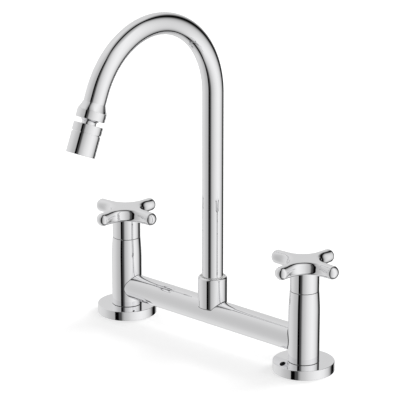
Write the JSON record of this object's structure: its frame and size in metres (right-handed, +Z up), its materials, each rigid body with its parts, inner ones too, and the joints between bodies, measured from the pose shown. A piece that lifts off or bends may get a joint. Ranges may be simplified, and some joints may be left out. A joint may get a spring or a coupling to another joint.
{
  "type": "bridge kitchen faucet",
  "caption": "Deck-mounted bridge faucet in polished chrome: cross handles on two columns, a round bridge between them and a tall swivelling gooseneck with a tilting aerator.",
  "frame": {"origin": "midway between the two inlet shanks' axes, on the top face of the worktop", "axes": "+X along the bridge to the right-hand (cold) handle, -Y the way the spout points at rest, +Z up"},
  "size_m": [0.2712, 0.1991, 0.3491],
  "materials": {
    "chrome": "polished",
    "brass": "machined",
    "steel": "satin",
    "rubber": "matte",
    "plastic": "matte",
    "ceramic": "polished"
  },
  "bodies": {
    "base": {"left_flange": "chrome", "left_flange_gasket": "rubber", "left_shank": "brass", "left_deck_washer": "rubber", "left_plate_washer": "steel", "left_lock_nut": "brass", "left_column": "chrome", "left_bridge_oring": "rubber", "left_valve_body": "brass", "left_valve_seal": "rubber", "left_fixed_disc": "ceramic", "left_bridge_screw": "steel", "right_flange": "chrome", "right_flange_gasket": "rubber", "right_shank": "brass", "right_deck_washer": "rubber", "right_plate_washer": "steel", "right_lock_nut": "brass", "right_column": "chrome", "right_bridge_oring": "rubber", "right_valve_body": "brass", "right_valve_seal": "rubber", "right_fixed_disc": "ceramic", "right_bridge_screw": "steel", "bridge_tube": "chrome", "spout_socket": "chrome", "socket_screw": "steel", "spout_bush": "plastic"},
    "left_tap": {"left_handle": "chrome", "left_stem": "brass", "left_handle_screw": "steel", "left_moving_disc": "ceramic"},
    "right_tap": {"right_handle": "chrome", "right_stem": "brass", "right_handle_screw": "steel", "right_moving_disc": "ceramic"},
    "spout": {"spout_tube": "chrome", "spout_tail": "brass", "tail_orings": "rubber", "spout_ferrule": "chrome", "joint_collar": "chrome"},
    "joint_seat": {"ball_seat": "plastic"},
    "outlet": {"swivel_ball": "chrome", "aerator_cap": "chrome", "aerator_seam": "chrome", "aerator_shell": "chrome", "aerator_insert": "plastic", "aerator_washer": "rubber"}
  },
  "joints": [
    {"name": "left_handle_turn", "type": "hinge", "parent": "base", "child": "left_tap", "pos_m": [-0.1015, 0, 0.0917], "axis": [0, 0, 1], "range_deg": [0, 90]},
    {"name": "right_handle_turn", "type": "hinge", "parent": "base", "child": "right_tap", "pos_m": [0.1015, 0, 0.0917], "axis": [0, 0, 1], "range_deg": [-90, 0]},
    {"name": "spout_swivel", "type": "hinge", "parent": "base", "child": "spout", "pos_m": [0, 0, 0.0575], "axis": [0, 0, 1], "continuous": true},
    {"name": "outlet_spin", "type": "hinge", "parent": "spout", "child": "joint_seat", "pos_m": [0, -0.1412, 0.22947], "axis": [0, -0.3875, -0.9219], "continuous": true},
    {"name": "outlet_tilt", "type": "hinge", "parent": "joint_seat", "child": "outlet", "pos_m": [0, -0.1412, 0.22947], "axis": [1, 0, 0], "range_deg": [-15, 15]}
  ]
}
